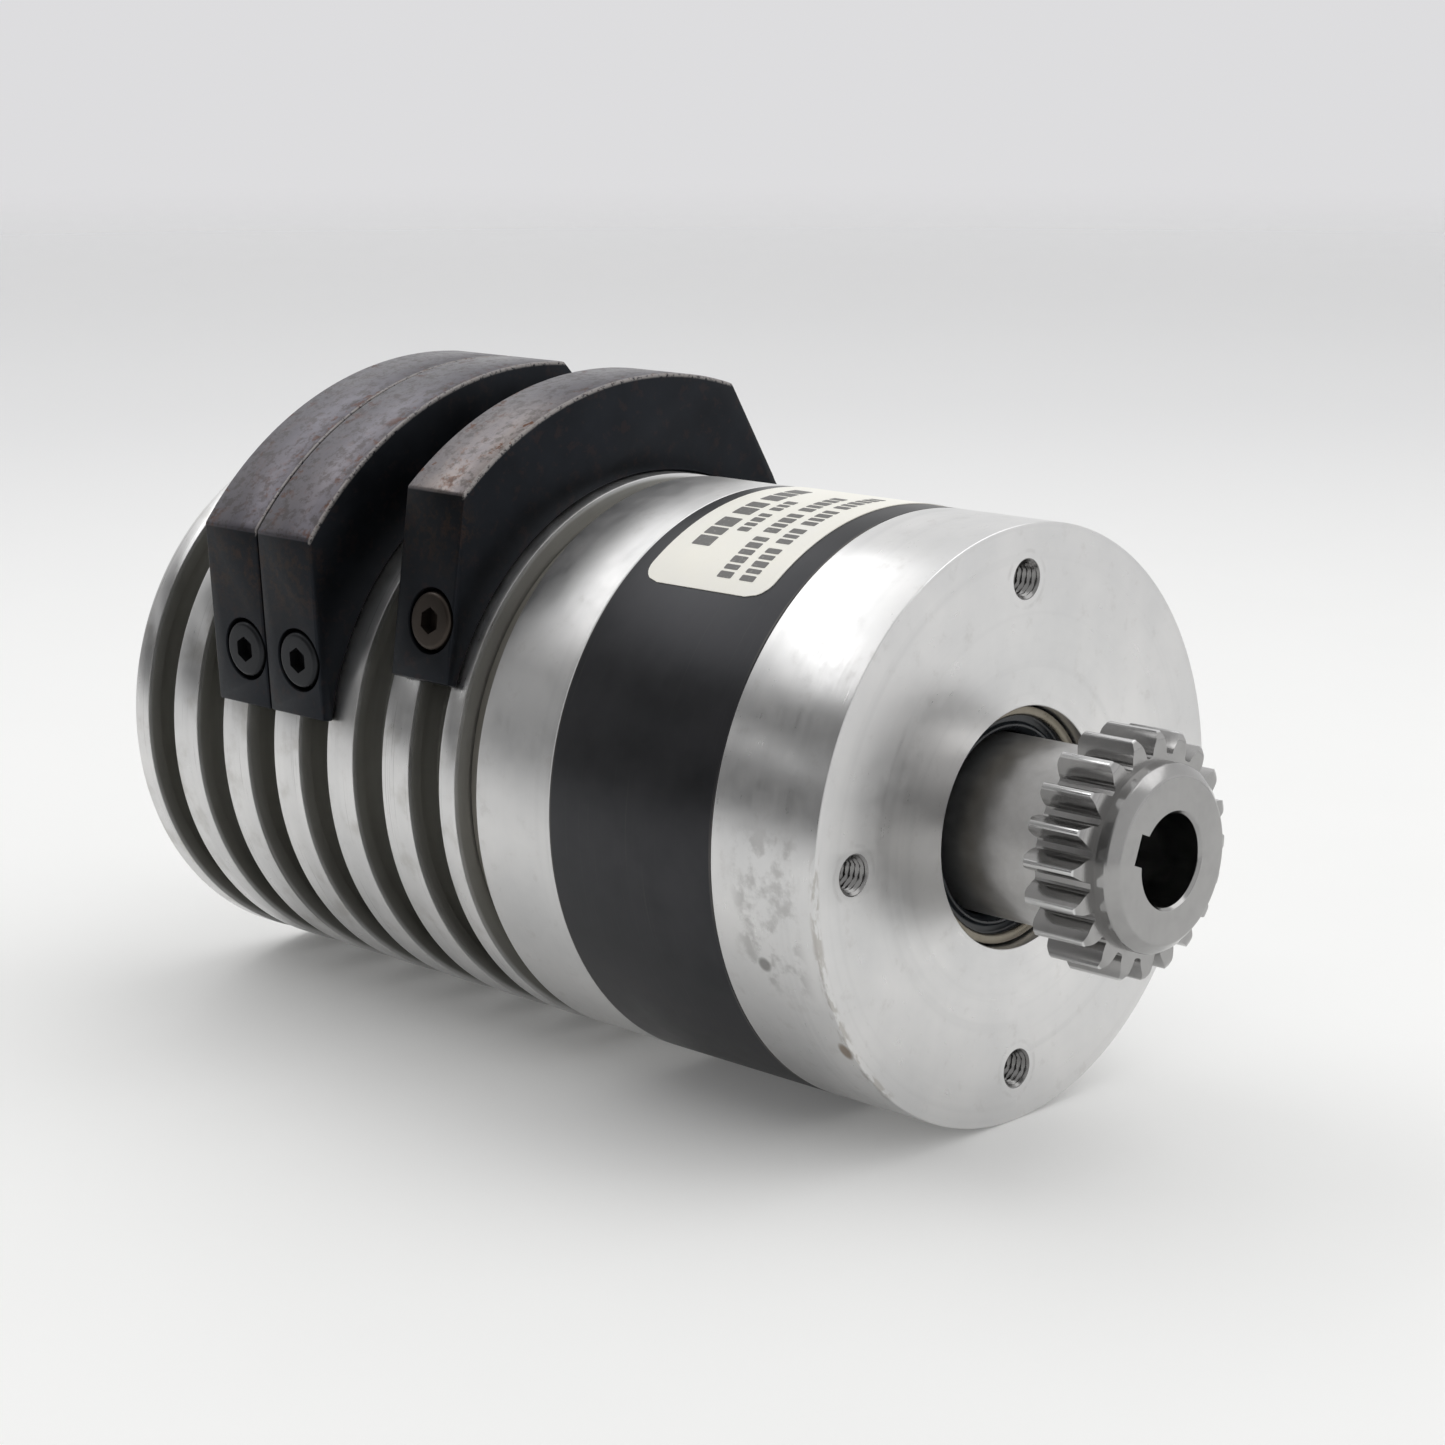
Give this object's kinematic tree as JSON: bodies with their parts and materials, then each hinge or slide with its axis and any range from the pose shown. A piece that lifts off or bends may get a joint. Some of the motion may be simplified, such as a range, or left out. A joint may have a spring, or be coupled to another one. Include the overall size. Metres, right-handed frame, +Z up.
{
  "type": "planetary gearbox",
  "caption": "Round planetary gearbox with a keyed hollow drive pinion at the front and a T-slotted output drum behind it that carries clamped cams.",
  "frame": {"origin": "on the shaft axis, in the plane of the front mounting face", "axes": "+X along the shaft axis, out of the front face towards the drive pinion; +Z up"},
  "size_m": [0.2035, 0.1038, 0.1175],
  "materials": {
    "turned_aluminium": "turned, satin, lightly stained",
    "black_ring_steel": "satin black",
    "black_steel": "black oxide, worn and spotted with rust",
    "bright_steel": "machined, lightly oiled",
    "bearing_steel": "ground",
    "bronze": "satin",
    "seal_rubber": "oily black rubber",
    "label_film": "ivory film"
  },
  "bodies": {
    "housing": {"front_housing": "turned_aluminium", "ring_gear": "black_ring_steel", "rear_housing": "turned_aluminium", "shaft_seal": "seal_rubber", "seal_retaining_ring": "bronze", "output_seal": "seal_rubber", "rating_label": "label_film", "input_bearing_outer_ring": "bearing_steel", "output_bearing_outer_ring": "bearing_steel", "housing_screw_1": "black_steel", "housing_screw_2": "black_steel", "housing_screw_3": "black_steel", "housing_screw_4": "black_steel"},
    "input_shaft": {"pinion_shaft": "bright_steel", "sun_gear": "bright_steel", "sun_key": "bright_steel", "sun_circlip": "black_steel", "shaft_circlip": "black_steel", "input_bearing_inner_ring": "bearing_steel", "input_bearing_balls": "bearing_steel"},
    "drum": {"planet_carrier": "bright_steel", "output_bearing_inner_ring": "bearing_steel", "output_bearing_balls": "bearing_steel", "planet_pin_1": "bright_steel", "planet_pin_2": "bright_steel", "planet_pin_3": "bright_steel", "planet_circlip_1": "black_steel", "planet_circlip_2": "black_steel", "planet_circlip_3": "black_steel", "cam_drum": "turned_aluminium", "drum_end_cover": "turned_aluminium", "drum_screw_1": "black_steel", "drum_screw_2": "black_steel", "drum_screw_3": "black_steel", "drum_screw_4": "black_steel", "cover_screw_1": "black_steel", "cover_screw_2": "black_steel", "cover_screw_3": "black_steel"},
    "planet_1": {"planet_gear_1": "bright_steel", "planet_bush_1": "bronze"},
    "planet_2": {"planet_gear_2": "bright_steel", "planet_bush_2": "bronze"},
    "planet_3": {"planet_gear_3": "bright_steel", "planet_bush_3": "bronze"},
    "cam_1_set": {"cam_1": "black_steel", "cam_1_screw_a": "black_steel", "cam_1_screw_b": "black_steel", "cam_1_nut_a": "black_steel", "cam_1_nut_b": "black_steel"},
    "cam_2_set": {"cam_2": "black_steel", "cam_2_screw_a": "black_steel", "cam_2_screw_b": "black_steel", "cam_2_nut_a": "black_steel", "cam_2_nut_b": "black_steel"},
    "cam_3_set": {"cam_3": "black_steel", "cam_3_screw_a": "black_steel", "cam_3_screw_b": "black_steel", "cam_3_nut_a": "black_steel", "cam_3_nut_b": "black_steel"}
  },
  "joints": [
    {"name": "drum_spin", "type": "hinge", "parent": "housing", "child": "drum", "pos_m": [0, 0, 0], "axis": [1, 0, 0], "continuous": true},
    {"name": "input_spin", "type": "hinge", "parent": "housing", "child": "input_shaft", "pos_m": [0, 0, 0], "axis": [1, 0, 0], "continuous": true},
    {"name": "planet_1_spin", "type": "hinge", "parent": "drum", "child": "planet_1", "pos_m": [-0.04, 0, 0.02475], "axis": [1, 0, 0], "continuous": true},
    {"name": "planet_2_spin", "type": "hinge", "parent": "drum", "child": "planet_2", "pos_m": [-0.04, -0.02143, -0.01238], "axis": [1, 0, 0], "continuous": true},
    {"name": "planet_3_spin", "type": "hinge", "parent": "drum", "child": "planet_3", "pos_m": [-0.04, 0.02143, -0.01238], "axis": [1, 0, 0], "continuous": true},
    {"name": "cam_1_setting", "type": "hinge", "parent": "drum", "child": "cam_1_set", "pos_m": [-0.1371, 0, 0], "axis": [1, 0, 0], "continuous": true},
    {"name": "cam_2_setting", "type": "hinge", "parent": "drum", "child": "cam_2_set", "pos_m": [-0.1221, 0, 0], "axis": [1, 0, 0], "continuous": true},
    {"name": "cam_3_setting", "type": "hinge", "parent": "drum", "child": "cam_3_set", "pos_m": [-0.0921, 0, 0], "axis": [1, 0, 0], "continuous": true}
  ],
  "couplings": [
    {"joint": "input_spin", "follows": "drum_spin", "ratio": 3.6667},
    {"joint": "planet_1_spin", "follows": "drum_spin", "ratio": -3.2},
    {"joint": "planet_2_spin", "follows": "drum_spin", "ratio": -3.2},
    {"joint": "planet_3_spin", "follows": "drum_spin", "ratio": -3.2}
  ]
}
